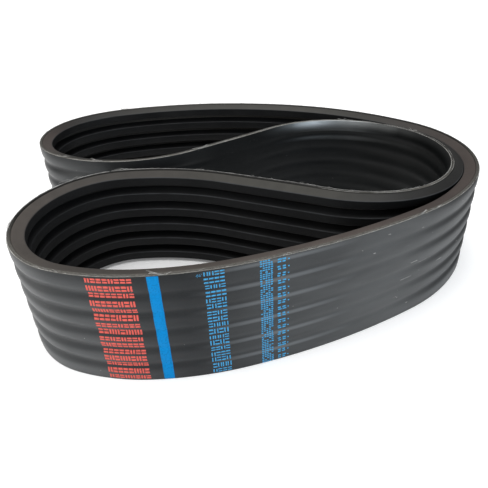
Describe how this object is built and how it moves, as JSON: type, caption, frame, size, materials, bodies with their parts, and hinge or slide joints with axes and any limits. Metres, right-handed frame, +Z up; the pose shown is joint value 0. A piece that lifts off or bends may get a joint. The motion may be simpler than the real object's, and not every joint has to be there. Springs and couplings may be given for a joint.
{
  "type": "joined v belt",
  "caption": "Endless joined V-belt of wrapped section B ribs under one tie band, standing on edge, folded into a horseshoe with open lobes.",
  "frame": {"origin": "centre of the bounding box in plan, on the surface the belt stands on", "axes": "+Z up across the belt's width, +X along the front run to the tight bend, +Y from the front run to the back run"},
  "size_m": [0.5048, 0.3928, 0.1123],
  "materials": {
    "cover_fabric": "matte",
    "ply_fabric": "matte",
    "skim_rubber": "matte",
    "jacket_fabric": "matte",
    "tension_rubber": "matte",
    "adhesion_gum": "satin",
    "polyester_cord": "twisted",
    "compression_rubber": "matte",
    "frayed_thread": "fibrous",
    "red_ink": "matte",
    "blue_ink": "matte"
  },
  "bodies": {
    "root": {"tie_band_inner_ply": "ply_fabric", "tie_band_rubber_skim": "skim_rubber", "tie_band_cover_ply": "cover_fabric", "rib_1_fabric_jacket": "jacket_fabric", "rib_1_tension_rubber": "tension_rubber", "rib_1_upper_cord_gum": "adhesion_gum", "rib_1_tensile_cords": "polyester_cord", "rib_1_lower_cord_gum": "adhesion_gum", "rib_1_compression_rubber": "compression_rubber", "rib_2_fabric_jacket": "jacket_fabric", "rib_2_tension_rubber": "tension_rubber", "rib_2_upper_cord_gum": "adhesion_gum", "rib_2_tensile_cords": "polyester_cord", "rib_2_lower_cord_gum": "adhesion_gum", "rib_2_compression_rubber": "compression_rubber", "rib_3_fabric_jacket": "jacket_fabric", "rib_3_tension_rubber": "tension_rubber", "rib_3_upper_cord_gum": "adhesion_gum", "rib_3_tensile_cords": "polyester_cord", "rib_3_lower_cord_gum": "adhesion_gum", "rib_3_compression_rubber": "compression_rubber", "rib_4_fabric_jacket": "jacket_fabric", "rib_4_tension_rubber": "tension_rubber", "rib_4_upper_cord_gum": "adhesion_gum", "rib_4_tensile_cords": "polyester_cord", "rib_4_lower_cord_gum": "adhesion_gum", "rib_4_compression_rubber": "compression_rubber", "rib_5_fabric_jacket": "jacket_fabric", "rib_5_tension_rubber": "tension_rubber", "rib_5_upper_cord_gum": "adhesion_gum", "rib_5_tensile_cords": "polyester_cord", "rib_5_lower_cord_gum": "adhesion_gum", "rib_5_compression_rubber": "compression_rubber", "rib_6_fabric_jacket": "jacket_fabric", "rib_6_tension_rubber": "tension_rubber", "rib_6_upper_cord_gum": "adhesion_gum", "rib_6_tensile_cords": "polyester_cord", "rib_6_lower_cord_gum": "adhesion_gum", "rib_6_compression_rubber": "compression_rubber"}
  },
  "joints": []
}
